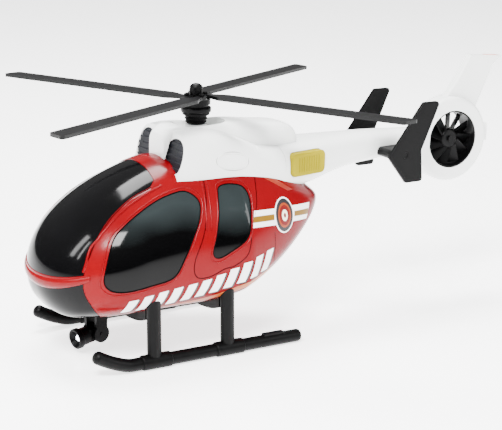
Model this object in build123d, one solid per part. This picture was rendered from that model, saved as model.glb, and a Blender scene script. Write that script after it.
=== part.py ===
from build123d import *
import math
import os

# Toy rescue helicopter with a four-blade rotor, a ducted tail fan and a battery light and sound unit.
# Frame: +X aft (the nose points to -X), +Y starboard, +Z up, millimetres.
# Everything is drawn in stations measured from the rotor mast axis, with the skids standing on z = 0.
# Finished pieces then move forward by MAST_STATION, which puts the origin at the toy's bottom centre.

# ------------------------------------------------------------------ driving dimensions
MAST_STATION = 66.35

# cabin pod
WALL = 2.0
NOSE_X, NOSE_Z = -124.8, 60.5
TAIL_X, TAIL_LOW_Z, TAIL_MID_Z, TAIL_HIGH_Z = 95.0, 93.6, 96.3, 99.0
HALF_WIDTH, TAIL_HALF_WIDTH = 60.5, 7.5
BELLY_Z, MID_Z, ROOF_Z = 32.0, 70.0, 135.6
TOP_POWER, BOTTOM_POWER = 2.0, 2.8
WIDEST_X, BELLY_X, ROOF_X = -66.0, -102.0, -36.5
SIDE_TAPER_X, BELLY_RISE_X, ROOF_DROP_X = 14.0, -14.0, 25.0
NOSE_STEPS = [0.15, 0.8, 2.5, 6.0, 12.0, 20.0, 32.0, 46.0]
MIDDLE_STATIONS = [-62.0, -44.0, -25.0, -6.0, 14.0, 30.0, 46.0, 60.0, 72.0]
TAIL_STEPS = [14.0, 8.0, 4.0, 1.6, 0.4]
PANE_INSET, PANE_THICK, PANE_GAP = 0.5, 1.6, 0.15
BAND_PROUD = 1.3

# pieces inside the cabin
HATCH_X, HATCH_HALF_WIDTH, HATCH_SCREW_X = (-51.0, -9.0), 25.0, -14.0
CELL_RADIUS, CELL_LENGTH, CELL_PITCH = 7.1, 50.0, 15.0
BOX_X, BOX_HALF_WIDTH, BOX_Z = (-54.0, -6.0), 28.0, (36.5, 53.5)
SCREW_RADIUS, SCREW_HEAD_RADIUS = 1.5, 2.9
SHELL_SCREWS = [(-70.0, 46.0), (26.0, 58.0), (62.0, 92.0)]
BOOM_SCREWS = [(112.0, 125.0), (184.0, 126.0)]

# engine cowling: station, half width, lowest z, highest z, squareness
DECK = [(-34.0, 34.5, 100, 151.0, 4.5), (-26.0, 35.0, 100, 153.5, 4.8), (-11.0, 35.5, 100, 155.0, 5.0),
        (5.0, 35.7, 100, 153.5, 4.5), (20.0, 35.7, 100, 149.0, 3.6), (38.0, 33.5, 100, 141.5, 3.0),
        (50.0, 31.2, 100, 139.0, 3.0), (57.5, 29.9, 100, 138.2, 3.0)]
SPINE = [(-31.0, 11.5, 120, 151.0, 4.0), (-27.0, 13.0, 120, 155.6, 4.0), (-10.0, 16.0, 120, 156.4, 4.5),
         (9.0, 17.0, 120, 156.6, 4.5), (35.0, 17.0, 120, 155.8, 4.5), (58.0, 15.7, 122, 153.6, 4.5),
         (69.0, 14.6, 124, 151.6, 4.0), (75.5, 12.6, 129, 147.6, 3.5), (78.0, 9.6, 133, 143.0, 3.0)]
INLET_FOOT_X, INLET_FOOT_Z, INLET_LEAN = -32.0, 125.0, 0.27
INLET = [(8.4, 136.0), (11.5, 146.6), (21.0, 150.2), (30.0, 147.8), (34.2, 140.0), (31.5, 129.0),
         (23.0, 127.0), (12.5, 129.5)]
TROUGH_X, TROUGH_HALF_WIDTH, TROUGH_Z = (-19.0, 21.0), 11.5, 150.0
COLLAR_RADIUS, COLLAR_TOP_Z = 8.0, 155.2

# rotor
BLADE_ANGLES = {"a": 118.6, "b": 208.6, "c": 28.6, "d": -61.4}
BLADE_TIP, BLADE_TIP_SLANT, BLADE_CHORD = 165.5, 4.0, 13.5
BLADE_NECK_HALF, BLADE_NECK_END, BLADE_FULL_CHORD = 3.0, 9.0, 18.0
BLADE_BOTTOM_Z, BLADE_THICK, BLADE_SKIN = 173.45, 2.3, 1.1
EYELET_RADIUS, PIN_ALONG, PIN_ACROSS, PIN_RADIUS = 4.0, 3.4, 6.7, 1.15
PIN_FOOT_Z, PIN_HEAD_Z, PIN_TOP_Z, PIN_HEAD_RADIUS = 169.5, 176.1, 177.3, 1.9
SHAFT_RADIUS, SHAFT_Z, MAST_TUBE_RADIUS, MAST_TUBE_Z = 1.5, (112.0, 172.0), 4.0, (116.0, 147.6)
RUNNING_GAP, FIXED_GAP = 0.05, 0.02

# tail: station, half width, lowest z, highest z, squareness of the boom
BOOM = [(57.6, 30.0, 103.0, 138.0, 3.2), (70.0, 28.0, 104.5, 138.0, 3.2), (85.0, 25.0, 105.5, 138.0, 3.1),
        (112.0, 19.0, 111.5, 138.0, 2.9), (140.0, 15.0, 115.0, 138.0, 2.7), (165.0, 12.2, 116.4, 137.2, 2.6),
        (190.0, 10.2, 116.5, 136.2, 2.6), (206.0, 9.0, 116.5, 135.6, 2.6)]
DUCT_X, DUCT_Z = 224.1, 125.1
DUCT_RADIUS, SHROUD_RADIUS, SHROUD_HALF, SHROUD_ROUND = 22.8, 33.6, 9.0, 3.5
LINER_BORE = 21.6
FIN = [(213.0, 154.0), (219.2, 157.7), (225.6, 165.2), (234.6, 178.1), (241.6, 190.3), (274.2, 187.6),
       (264.6, 180.2), (256.0, 160.6), (249.0, 146.0), (224.0, 148.4)]
FIN_HALF, FIN_ROUND = 3.6, 1.6
TAB_X, TAB_Z, TAB_HALF = (254.0, 263.4), (119.8, 133.8), 3.6
TIP_LIGHT_X, TIP_LIGHT_HALF = (257.5, 271.0), 1.6
FAN_BLADES, FAN_RADIUS, FAN_HUB_RADIUS, FAN_PITCH = 11, 21.0, 7.6, 38.0
FAN_AXLE_RADIUS, FAN_HUB_Y, VANE = 1.0, (-5.0, 2.6), (12.0, 1.1, 15.4)
STAB_X, STAB_Z, STAB_HALF_SPAN = (148.5, 173.5), (120.0, 127.0), 31.0
PLATE = [(145.5, 122.6), (175.4, 162.3), (191.1, 162.3), (175.4, 125.9), (177.5, 101.7), (162.0, 101.6)]
PLATE_THICK, PLATE_SCREW_X, PLATE_SCREW_Z = 2.6, 160.5, 123.4

# sound button on the port side of the boom; it slides square to the boom's side
BUTTON_CENTRE, BUTTON_YAW = (77.7, -26.4, 124.3), 10.8
BUTTON_LONG, BUTTON_TALL, BUTTON_CORNER, BUTTON_GAP = 32.0, 17.0, 4.0, 0.35
BUTTON_FACE_Y, BUTTON_BACK_Y, BUTTON_POCKET_Y = -2.6, 3.2, 8.0
BUTTON_TRAVEL, DOME_GAP, DOME_TALL = 1.8, 0.4, 3.0

# landing gear
SKID_Y, SKID_RADIUS, SKID_Z = 53.3, 4.6, 4.45
SKID_TIP_X, SKID_TIP_Z, SKID_BEND_X, SKID_REAR_X, SKID_END_ROUND = -103.2, 15.8, -80.0, 58.4, 3.2
LEG_STATIONS = {"front": -58.6, "rear": -1.6}
LEG_TOP_Y, LEG_TOP_Z, LEG_HALF_LENGTH, LEG_HALF_WIDTH = 51.6, 58.0, 5.1, 4.2
SLEEVE_RADIUS, SLEEVE_AHEAD, SLEEVE_BEHIND = 5.5, 10.0, 12.0
CROSS_DEPTH, CROSS_HALF_LENGTH, CROSS_HALF_SPAN, CROSS_TOP_Z = 6.0, 4.0, 47.3, 43.0

# searchlight
LAMP_X, LAMP_Z, LAMP_YAW, LAMP_TILT = -78.4, 12.2, 12.0, 6.0
LAMP_RADIUS, LAMP_REACH, LAMP_BODY_RADIUS, LAMP_KNUCKLE_HALF = 7.35, 18.4, 6.3, 4.4
CHEEK_RADIUS, CHEEK_IN, CHEEK_OUT = 6.2, 5.0, 7.4
SWIVEL_DISC_RADIUS, SWIVEL_DISC_Z, SWIVEL_PIN_RADIUS, SWIVEL_PIN_TOP = 8.2, (28.4, 31.4), 2.4, 36.5
LED_RADIUS, LED_FACE = 2.5, 16.6

SIDES = {"port": -1, "starboard": 1}
FAR = 400.0


# ------------------------------------------------------------------ helpers
def save(shape, node):
    """Moves a finished piece into the part's own frame and writes it."""
    solids = shape.solids()
    piece = Compound(solids) if len(solids) > 1 else solids[0]
    export_step(piece.moved(Location((-MAST_STATION, 0, 0))), "parts/" + node + ".step")


def block(x0, x1, y0, y1, z0, z1):
    """A box between two corners."""
    return Pos((x0 + x1) / 2, (y0 + y1) / 2, (z0 + z1) / 2) * Box(x1 - x0, y1 - y0, z1 - z0)


def upright(x, y, z0, z1, radius):
    """A round bar along Z."""
    return Pos(x, y, (z0 + z1) / 2) * Cylinder(radius, z1 - z0)


def crosswise(x, z, y0, y1, radius):
    """A round bar along Y."""
    return Pos(x, (y0 + y1) / 2, z) * Rot(90, 0, 0) * Cylinder(radius, y1 - y0)


def lengthwise(y, z, x0, x1, radius):
    """A round bar along X."""
    return Pos((x0 + x1) / 2, y, z) * Rot(0, 90, 0) * Cylinder(radius, x1 - x0)


def side_half(side):
    """Everything on one side of the centre plane."""
    return block(-FAR, FAR, min(0, SIDES[side] * FAR), max(0, SIDES[side] * FAR), -FAR, FAR)


def side_prism(edges, low_y, high_y):
    """A closed side-view outline, carried across from low_y to high_y."""
    return Pos(0, low_y, 0) * Solid.extrude(Face(Wire(edges)), Vector(0, high_y - low_y, 0))


def side_points(points):
    return [(x, 0, z) for x, z in points]


def straight_sides(points):
    return Polyline(side_points(points + points[:1])).edges()


def smooth_loop(points, shrink):
    """A rounded closed outline, drawn smaller by about `shrink` all round."""
    middle_x = sum(x for x, z in points) / len(points)
    middle_z = sum(z for x, z in points) / len(points)
    mean_reach = sum(math.hypot(x - middle_x, z - middle_z) for x, z in points) / len(points)
    scale = 1 - shrink / mean_reach
    inner = [(middle_x + (x - middle_x) * scale, middle_z + (z - middle_z) * scale) for x, z in points]
    return [Spline(side_points(inner), periodic=True)]


def closed_section(points, pace):
    """A smooth closed section whose knots follow the shared pace, so that a stack of them lofts cleanly."""
    return Wire([Edge.make_spline([Vector(*point) for point in points], periodic=True, parameters=pace)])


def section_pace(points):
    """Distance gone round a section at each of its points, as a share of the whole way round."""
    steps = [math.dist(a, b) for a, b in zip(points, points[1:] + points[:1])]
    pace = [0.0]
    for step in steps:
        pace.append(pace[-1] + step)
    return [distance / pace[-1] for distance in pace]


def oval_points(x, half, low, high, power, count=28):
    """Points round a squared-off oval across the toy at station x."""
    middle, reach = (low + high) / 2, (high - low) / 2
    points = []
    for step in range(count):
        turn = 2 * math.pi * (step + 0.5) / count
        across, up = math.cos(turn), math.sin(turn)
        y = math.copysign(abs(across) ** (2 / power), across) * half
        z = middle + math.copysign(abs(up) ** (2 / power), up) * reach
        points.append((x, y, z))
    return points


def oval_loft(sections, inset=0.0, last_x=FAR):
    """A smooth body through the listed sections up to last_x, inset from its skin."""
    rings = []
    for x, half, low, high, power in sections:
        if x <= last_x:
            rings.append(oval_points(x, half - inset, low + inset, high - inset, power))
    pace = section_pace(rings[len(rings) // 2])
    return Solid.make_loft([closed_section(ring, pace) for ring in rings])


# ------------------------------------------------------------------ cabin pod
def rise(share, near_power, far_power):
    """0 to 1 as share goes from 0 to 1, starting upright like the end of an ellipse."""
    share = min(max(share, 0.0), 1.0)
    return (1 - (1 - share) ** near_power) ** (1 / far_power)


def pod_station(x):
    """Half width, and lowest, widest and highest z, of the cabin pod at station x."""
    half = HALF_WIDTH * rise((x - NOSE_X) / (WIDEST_X - NOSE_X), 2.12, 2.04)
    low = NOSE_Z - (NOSE_Z - BELLY_Z) * rise((x - NOSE_X) / (BELLY_X - NOSE_X), 2.25, 2.09)
    high = NOSE_Z + (ROOF_Z - NOSE_Z) * rise((x - NOSE_X) / (ROOF_X - NOSE_X), 1.23, 2.05)
    mid = NOSE_Z + (MID_Z - NOSE_Z) * min(1.0, (x - NOSE_X) / (WIDEST_X - NOSE_X))
    if x > SIDE_TAPER_X:
        share = (x - SIDE_TAPER_X) / (TAIL_X - SIDE_TAPER_X)
        half = TAIL_HALF_WIDTH + (half - TAIL_HALF_WIDTH) * math.sqrt(max(0.0, 1 - share ** 0.95))
        mid = MID_Z + (TAIL_MID_Z - MID_Z) * share ** 1.2
    if x > BELLY_RISE_X:
        share = (x - BELLY_RISE_X) / (TAIL_X - BELLY_RISE_X)
        low = TAIL_LOW_Z - (TAIL_LOW_Z - low) * max(0.0, 1 - share ** 2.1)
    if x > ROOF_DROP_X:
        share = (x - ROOF_DROP_X) / (TAIL_X - ROOF_DROP_X)
        high = TAIL_HIGH_Z + (high - TAIL_HIGH_Z) * max(0.0, 1 - share ** 1.6)
    return half, low, mid, high


def pod_points(station, inset):
    """Points round one section of the pod, inset from its skin and pulled in from the nearer end."""
    half, low, mid, high = pod_station(station)
    x = station + inset if station < ROOF_X else station - inset
    points = []
    for step in range(32):
        turn = 2 * math.pi * (step + 0.5) / 32
        across, up = math.cos(turn), math.sin(turn)
        power = 2 / (TOP_POWER if up > 0 else BOTTOM_POWER)
        reach = (high - mid if up > 0 else mid - low) - inset
        y = math.copysign(abs(across) ** power, across) * (half - inset)
        z = mid + math.copysign(abs(up) ** power, up) * reach
        points.append((x, y, z))
    return points


def pod_solid(inset):
    """The pod as one solid, inset from its skin; a negative inset stands proud of it."""
    stations = [NOSE_X + step for step in NOSE_STEPS] + MIDDLE_STATIONS
    stations = stations + [TAIL_X - step for step in TAIL_STEPS]
    rings = []
    for station in stations:
        half, low, mid, high = pod_station(station)
        if min(half, mid - low, high - mid) > inset + 1.0:
            rings.append(pod_points(station, inset))
    pace = section_pace(rings[len(rings) // 2])
    return Solid.make_loft([closed_section(ring, pace) for ring in rings])


WINDSCREEN_ARC = [(-106.0, 69.7), (-103.3, 79.0), (-96.5, 90.5), (-84.0, 104.0), (-67.5, 115.0),
                  (-51.0, 121.6)]
CHIN_ARC = [(-106.3, 64.4), (-106.3, 60.0), (-104.2, 53.4), (-98.4, 44.0), (-91.0, 36.5), (-82.0, 28.0)]
BAND_TOP = [(-132.0, 62.6), (-120.0, 65.4), (-106.0, 69.7)]
BAND_BOTTOM = [(-132.0, 54.6), (-120.0, 59.6), (-106.3, 64.4)]
FRONT_WINDOW = [(-95.2, 70.0), (-87.5, 91.0), (-76.5, 101.4), (-60.5, 110.5), (-44.5, 116.6), (-30.0, 118.4),
                (-22.0, 112.0), (-24.5, 101.5), (-32.2, 88.5), (-38.8, 77.0), (-47.5, 64.5), (-65.0, 60.8),
                (-83.0, 58.6), (-93.0, 61.2)]
REAR_WINDOW = [(-3.4, 118.4), (5.0, 119.6), (14.5, 117.4), (17.6, 110.4), (15.0, 98.0), (10.0, 84.5),
               (-3.0, 77.0), (-13.0, 73.6), (-17.4, 77.6), (-13.5, 89.6), (-9.4, 102.0), (-6.4, 113.0)]


def windscreen_outline(gap):
    """Above the nose band and ahead of the door frame."""
    lead = [(x - gap, z + gap) for x, z in WINDSCREEN_ARC]
    arc = Spline(side_points(lead))
    over = [lead[-1], (-47.0 - gap, 125.0), (-46.6 - gap, 130.0), (-48.5 - gap, 150.0), (-140.0, 150.0)]
    band = [(x - gap, z + gap) for x, z in BAND_TOP]
    return [arc] + list(Polyline(side_points(over + band)).edges())


def chin_outline(gap):
    """Below the nose band and ahead of the door frame."""
    lead = [(x - gap, z - gap) for x, z in CHIN_ARC]
    arc = Spline(side_points(lead))
    under = [lead[-1], (-82.0 - gap, 15.0), (-140.0, 15.0)]
    band = [(x - gap, z - gap) for x, z in BAND_BOTTOM]
    return [arc] + list(Polyline(side_points(under + band)).edges())


def window_prisms(gap):
    """The side-view prism of every glazed opening, by node name."""
    front, rear = smooth_loop(FRONT_WINDOW, gap), smooth_loop(REAR_WINDOW, gap)
    return {
        "windscreen": side_prism(windscreen_outline(gap), -FAR, FAR),
        "chin_window": side_prism(chin_outline(gap), -FAR, FAR),
        "front_side_window_port": side_prism(front, -FAR, -5),
        "front_side_window_starboard": side_prism(front, 5, FAR),
        "rear_side_window_port": side_prism(rear, -FAR, -5),
        "rear_side_window_starboard": side_prism(rear, 5, FAR),
    }


def screw_boss(x, z, radius):
    """Solid post between the two shells round a shell screw, before it is trimmed to the shell."""
    return crosswise(x, z, -FAR, FAR, radius)


def screw_space(x, z):
    """What a shell screw needs: a head recess from starboard, a clearance hole and a pilot hole."""
    recess = crosswise(x, z, 12, FAR, SCREW_HEAD_RADIUS + 0.3)
    return recess + crosswise(x, z, -14, 12, SCREW_RADIUS + FIXED_GAP)


def screw(x, z, head_y, length):
    """A round-head screw driven from starboard."""
    head = crosswise(x, z, head_y, head_y + 1.8, SCREW_HEAD_RADIUS)
    slot = block(x - 2.2, x + 2.2, head_y + 1.0, head_y + 2, z - 0.35, z + 0.35)
    slot = slot + block(x - 0.35, x + 0.35, head_y + 1.0, head_y + 2, z - 2.2, z + 2.2)
    return head - slot + crosswise(x, z, head_y - length, head_y, SCREW_RADIUS)


def cabin(outer, skin):
    """Two red shells with their glazing, and the battery cover in the belly."""
    shell = skin
    panes = pod_solid(PANE_INSET) - pod_solid(PANE_INSET + PANE_THICK)
    slim = window_prisms(PANE_GAP)
    for node, prism in window_prisms(0).items():
        shell = shell - prism
        save(panes & slim[node], node)
    band = side_prism(straight_sides(BAND_TOP + BAND_BOTTOM[::-1]), -FAR, FAR)
    shell = shell + ((pod_solid(-BAND_PROUD) - pod_solid(WALL)) & band)
    shell = shell - block(HATCH_X[0], HATCH_X[1], -HATCH_HALF_WIDTH, HATCH_HALF_WIDTH, 20, 45)
    shell = shell - upright(0, 0, 100, 150, MAST_TUBE_RADIUS + 0.3)
    shell = shell - upright(LAMP_X, 0, 20, 45, SWIVEL_PIN_RADIUS + RUNNING_GAP)
    for x, z in SHELL_SCREWS:
        shell = shell + (screw_boss(x, z, 4.2) & outer)
        shell = shell - screw_space(x, z)
    for side in SIDES:
        save(shell & side_half(side), "fuselage_shell_" + side)
    screws = [screw(x, z, 12, 25) for x, z in SHELL_SCREWS]
    save(Compound(screws), "shell_screws")
    lid = block(HATCH_X[0] + 0.3, HATCH_X[1] - 0.3, -HATCH_HALF_WIDTH + 0.3, HATCH_HALF_WIDTH - 0.3, 20, 45)
    cover = skin & lid
    cover = cover - upright(HATCH_SCREW_X, 0, 20, 45, SCREW_RADIUS + FIXED_GAP)
    cover = cover - upright(HATCH_SCREW_X, 0, 20, BELLY_Z + 0.9, SCREW_HEAD_RADIUS + 0.3)
    save(cover, "battery_cover")


def battery_bay():
    """Open-topped box behind the cover, three cells across it, the cover's screw and the circuit board."""
    x0, x1 = BOX_X
    z0, z1 = BOX_Z
    box = block(x0, x1, -BOX_HALF_WIDTH, BOX_HALF_WIDTH, z0, z1)
    box = box - block(x0 + 1.2, x1 - 1.2, -BOX_HALF_WIDTH + 1.2, BOX_HALF_WIDTH - 1.2, z0 - 1, z1 - 1.4)
    box = box + block(x1 - 1.2, x1 + 2, -6, 6, z0, z0 + 9)
    middle = (x0 + x1) / 2
    cells = []
    for row in (-1, 0, 1):
        x = middle + row * CELL_PITCH
        z = z0 + 1.0 + CELL_RADIUS
        can = crosswise(x, z, -CELL_LENGTH / 2 + 1.4, CELL_LENGTH / 2, CELL_RADIUS)
        cap = crosswise(x, z, -CELL_LENGTH / 2, -CELL_LENGTH / 2 + 1.4, 2.7)
        cells.append((can + cap).rotate(Axis((x, 0, z), (0, 0, 1)), 180 if row else 0))
    save(box, "battery_box")
    save(Compound(cells), "battery_cells")
    post_z = BELLY_Z + 0.9
    head = upright(HATCH_SCREW_X, 0, post_z - 1.6, post_z, SCREW_HEAD_RADIUS)
    head = head - block(HATCH_SCREW_X - 2.2, HATCH_SCREW_X + 2.2, -0.35, 0.35, post_z - 2, post_z - 0.8)
    save(head + upright(HATCH_SCREW_X, 0, post_z, post_z + 2.4, SCREW_RADIUS), "battery_cover_screw")
    board = block(x0 + 6, x1 - 4, -20, 20, z1 + 3, z1 + 4.6)
    board = board + block(-34, -26, -5, 5, z1 + 4.6, z1 + 6.6)
    for x in (x0 + 9, x1 - 7):
        for y in (-16, 16):
            board = board + upright(x, y, z1, z1 + 3, 2.0)
    save(board, "circuit_board")
    speaker = upright(10, 0, 47, 49, 14) + upright(10, 0, 49, 53, 8.5)
    speaker = speaker - upright(10, 0, 46, 48.2, 11.5) + Pos(10, 0, 47.9) * Sphere(4)
    speaker = speaker - upright(10, 0, 40, 46.9, 14)
    save(speaker, "speaker")


# ------------------------------------------------------------------ engine cowling
def inlet_wedge(depth):
    """Everything ahead of the leaning inlet plane, the plane being moved aft by depth."""
    low_z, high_z = 90.0, 170.0
    low_x = INLET_FOOT_X + (low_z - INLET_FOOT_Z) * INLET_LEAN + depth
    high_x = INLET_FOOT_X + (high_z - INLET_FOOT_Z) * INLET_LEAN + depth
    corners = [(low_x, low_z), (high_x, high_z), (-80.0, high_z), (-80.0, low_z)]
    return side_prism(straight_sides(corners), -60, 60)


def inlet_bar(sign, gap):
    """The rounded inlet outline, seen from ahead, carried aft."""
    middle_y = sum(y for y, z in INLET) / len(INLET)
    middle_z = sum(z for y, z in INLET) / len(INLET)
    scale = 1 - gap / 11.0
    points = []
    for y, z in INLET:
        points.append((-50, sign * (middle_y + (y - middle_y) * scale), middle_z + (z - middle_z) * scale))
    return Solid.extrude(Face(Wire([Spline(points, periodic=True)])), Vector(35, 0, 0))


def cowling(outer, boom_outer):
    """White cowling with a shallow trough and collar round the mast, and two dark inlet grilles."""
    lump = (oval_loft(DECK) - inlet_wedge(0)) + oval_loft(SPINE)
    trough = block(TROUGH_X[0], TROUGH_X[1], -TROUGH_HALF_WIDTH, TROUGH_HALF_WIDTH, TROUGH_Z, 170)
    trough = fillet(trough.edges().filter_by(Axis.Z), 9.0)
    room = oval_loft(DECK[1:], WALL) - inlet_wedge(WALL)
    room = room + oval_loft(SPINE[1:], WALL, 70)
    room = room - block(TROUGH_X[0] - WALL, TROUGH_X[1] + WALL, -13.5, 13.5, TROUGH_Z - WALL, 170)
    shell = lump - trough - room - outer - boom_outer
    shell = shell + upright(0, 0, TROUGH_Z - 1, COLLAR_TOP_Z, COLLAR_RADIUS)
    for sign in SIDES.values():
        shell = shell - (inlet_bar(sign, -0.1) & (inlet_wedge(3.4) - inlet_wedge(-1)))
    shell = shell - upright(0, 0, 130, 170, SHAFT_RADIUS + 0.35)
    save(max(shell.solids(), key=lambda piece: piece.volume), "engine_cowling")
    for side, sign in SIDES.items():
        grille = inlet_bar(sign, 0.1) & (inlet_wedge(3.2) - inlet_wedge(0.9))
        for z in (130.5, 134.5, 138.5, 142.5, 146.5):
            slat = block(-40, -10, min(0, sign * 40), max(0, sign * 40), z - 0.6, z + 0.6)
            grille = grille + (slat & inlet_bar(sign, 0.1) & (inlet_wedge(1.2) - inlet_wedge(0.2)))
        save((grille - outer), "engine_inlet_" + side)


# ------------------------------------------------------------------ rotor
def rotor_head():
    """Shaft in its fixed tube, ribbed hub, hinge plate, cap and the four hinge pins."""
    tube = upright(0, 0, MAST_TUBE_Z[0], MAST_TUBE_Z[1], MAST_TUBE_RADIUS)
    tube = tube + upright(0, 0, 127.5, 130.0, 10.0)
    save(tube - upright(0, 0, 100, 160, SHAFT_RADIUS + RUNNING_GAP), "mast_tube")
    save(upright(0, 0, SHAFT_Z[0], SHAFT_Z[1], SHAFT_RADIUS), "rotor_shaft")
    stop = upright(0, 0, MAST_TUBE_Z[0] - 3.6, MAST_TUBE_Z[0] - 0.6, 3.2)
    save(stop - upright(0, 0, 100, 120, SHAFT_RADIUS + FIXED_GAP), "shaft_stop_ring")
    hub = Pos(0, 0, 158.8) * Cone(6.6, 8.1, 6.2)
    for z, radius, thick in [(157.0, 7.6, 0.9), (159.2, 8.1, 0.9), (162.6, 9.6, 1.7), (165.5, 10.8, 4.1)]:
        ring = upright(0, 0, z - thick / 2, z + thick / 2, radius)
        hub = hub + fillet(ring.edges(), thick * 0.3)
    hub = hub + upright(0, 0, 161.5, 169.3, 8.6)
    save(hub - upright(0, 0, 150, 175, SHAFT_RADIUS + FIXED_GAP), "rotor_hub")
    plate = upright(0, 0, 169.3, 173.1, 10.2)
    plate = plate - upright(0, 0, 160, SHAFT_Z[1] + 0.1, SHAFT_RADIUS + FIXED_GAP)
    pins = []
    for angle in BLADE_ANGLES.values():
        x, y = pin_place(angle)
        plate = plate - upright(x, y, 160, 180, PIN_RADIUS + FIXED_GAP)
        pin = upright(x, y, PIN_FOOT_Z, PIN_HEAD_Z, PIN_RADIUS)
        pins.append(pin + upright(x, y, PIN_HEAD_Z, PIN_TOP_Z, PIN_HEAD_RADIUS))
    save(plate, "hinge_plate")
    save(Compound(pins), "blade_hinge_pins")
    cap = upright(0, 0, 176.0, 181.0, 4.6) + Pos(0, 0, 181.0) * scale(Sphere(4.6), (1, 1, 0.68))
    cap = cap - upright(0, 0, 170, 176.0, 6) + upright(0, 0, 173.1, 176.4, 2.6)
    for z in (177.6, 179.4):
        cap = cap + upright(0, 0, z - 0.4, z + 0.4, 4.9)
    save(cap, "rotor_cap")


def pin_place(angle):
    """Where a blade's hinge pin stands, for a blade pointing along angle."""
    turn = math.radians(angle)
    x = PIN_ALONG * math.cos(turn) - PIN_ACROSS * math.sin(turn)
    y = PIN_ALONG * math.sin(turn) + PIN_ACROSS * math.cos(turn)
    return x, y


def rotor_blade():
    """One blade lying along +X: eyelet, tapered neck, full chord, slanted tip, ribbed hollow underside."""
    neck_low, neck_high = PIN_ACROSS - BLADE_NECK_HALF, PIN_ACROSS + BLADE_NECK_HALF
    tip_low, tip_high = BLADE_TIP - BLADE_TIP_SLANT, BLADE_TIP
    outline = [(PIN_ALONG, neck_low), (BLADE_NECK_END, neck_low), (BLADE_FULL_CHORD, 0), (tip_low, 0),
               (tip_high, BLADE_CHORD), (BLADE_FULL_CHORD, BLADE_CHORD), (BLADE_NECK_END, neck_high),
               (PIN_ALONG, neck_high)]
    sheet = Face(Wire(Polyline([(x, y, 0) for x, y in outline + outline[:1]]).edges()))
    corners = [v for v in sheet.vertices() if v.X > 100]
    sheet = fillet(corners, 2.2)
    blade = extrude(sheet, BLADE_THICK, dir=(0, 0, 1))
    blade = Pos(0, 0, BLADE_BOTTOM_Z) * blade
    low, high = BLADE_BOTTOM_Z, BLADE_BOTTOM_Z + BLADE_THICK
    blade = blade + upright(PIN_ALONG, PIN_ACROSS, low, high, EYELET_RADIUS)
    rim = 1.2
    first, last = BLADE_FULL_CHORD + 4, BLADE_TIP - BLADE_TIP_SLANT - 4
    bays = 7
    pitch = (last - first) / bays
    for bay in range(bays):
        x0, x1 = first + bay * pitch, first + (bay + 1) * pitch - rim
        blade = blade - block(x0, x1, rim, BLADE_CHORD / 2 - rim / 2, low - 1, low + BLADE_THICK - BLADE_SKIN)
        blade = blade - block(x0, x1, BLADE_CHORD / 2 + rim / 2, BLADE_CHORD - rim, low - 1, high - BLADE_SKIN)
    return blade - upright(PIN_ALONG, PIN_ACROSS, low - 1, high + 1, PIN_RADIUS + RUNNING_GAP)


# ------------------------------------------------------------------ tail
def fin_and_shroud():
    """The ring round the tail fan, the swept fin on top of it and the tab behind it."""
    ring = crosswise(DUCT_X, DUCT_Z, -SHROUD_HALF, SHROUD_HALF, SHROUD_RADIUS)
    ring = fillet(ring.edges().filter_by(GeomType.CIRCLE), SHROUD_ROUND)
    fin = side_prism(straight_sides(FIN), -FIN_HALF, FIN_HALF)
    tab = block(TAB_X[0], TAB_X[1], -TAB_HALF, TAB_HALF, TAB_Z[0], TAB_Z[1])
    across = [edge for edge in fin.edges() if abs(abs(edge.center().Y) - FIN_HALF) < 0.01]
    fin = fillet(across, FIN_ROUND)
    tab = fillet(tab.edges().filter_by(Axis.Z) + tab.edges().filter_by(Axis.X), FIN_ROUND)
    return ring + fin + tab


def tail_boom(outer, boom_outer):
    """Hollow boom in two halves, with its screws, light lens, stabiliser, end plates and fan."""
    boom = boom_outer - oval_loft(BOOM, WALL, 166)
    boom = boom + fin_and_shroud()
    boom = boom - crosswise(DUCT_X, DUCT_Z, -20, 20, DUCT_RADIUS + FIXED_GAP) - outer
    lens = block(TIP_LIGHT_X[0], TIP_LIGHT_X[1], -TIP_LIGHT_HALF, TIP_LIGHT_HALF, 184.6, 190.0)
    under_fin_top = side_prism(straight_sides([(250, 180), (250, 190.0), (280, 187.6), (280, 180)]), -5, 5)
    lens = lens & under_fin_top
    boom = boom - block(TIP_LIGHT_X[0] - 0.1, TIP_LIGHT_X[1] + 0.1, -1.7, 1.7, 184.5, 195)
    boom = boom - stab_bar(0.05)
    for x, z in BOOM_SCREWS:
        boom = boom + (crosswise(x, z, -FAR, FAR, 3.6) & boom_outer)
        boom = boom - crosswise(x, z, 5, FAR, SCREW_HEAD_RADIUS + 0.3)
        boom = boom - crosswise(x, z, -7, 5, SCREW_RADIUS + FIXED_GAP)
    boom = boom - button_place(button_body(BUTTON_GAP, -10, BUTTON_POCKET_Y))
    for side in SIDES:
        half = boom & side_half(side)
        save(max(half.solids(), key=lambda piece: piece.volume), "tail_boom_" + side)
    save(Compound([screw(x, z, 5, 11.5) for x, z in BOOM_SCREWS]), "boom_screws")
    save(lens, "fin_tip_light")


def stab_bar(gap):
    """The stabiliser bar, a flat rounded section through the boom."""
    bar = block(STAB_X[0], STAB_X[1], -STAB_HALF_SPAN, STAB_HALF_SPAN, STAB_Z[0], STAB_Z[1])
    bar = fillet(bar.edges().filter_by(Axis.Y), 3.2)
    return offset(bar, gap) if gap else bar


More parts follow.
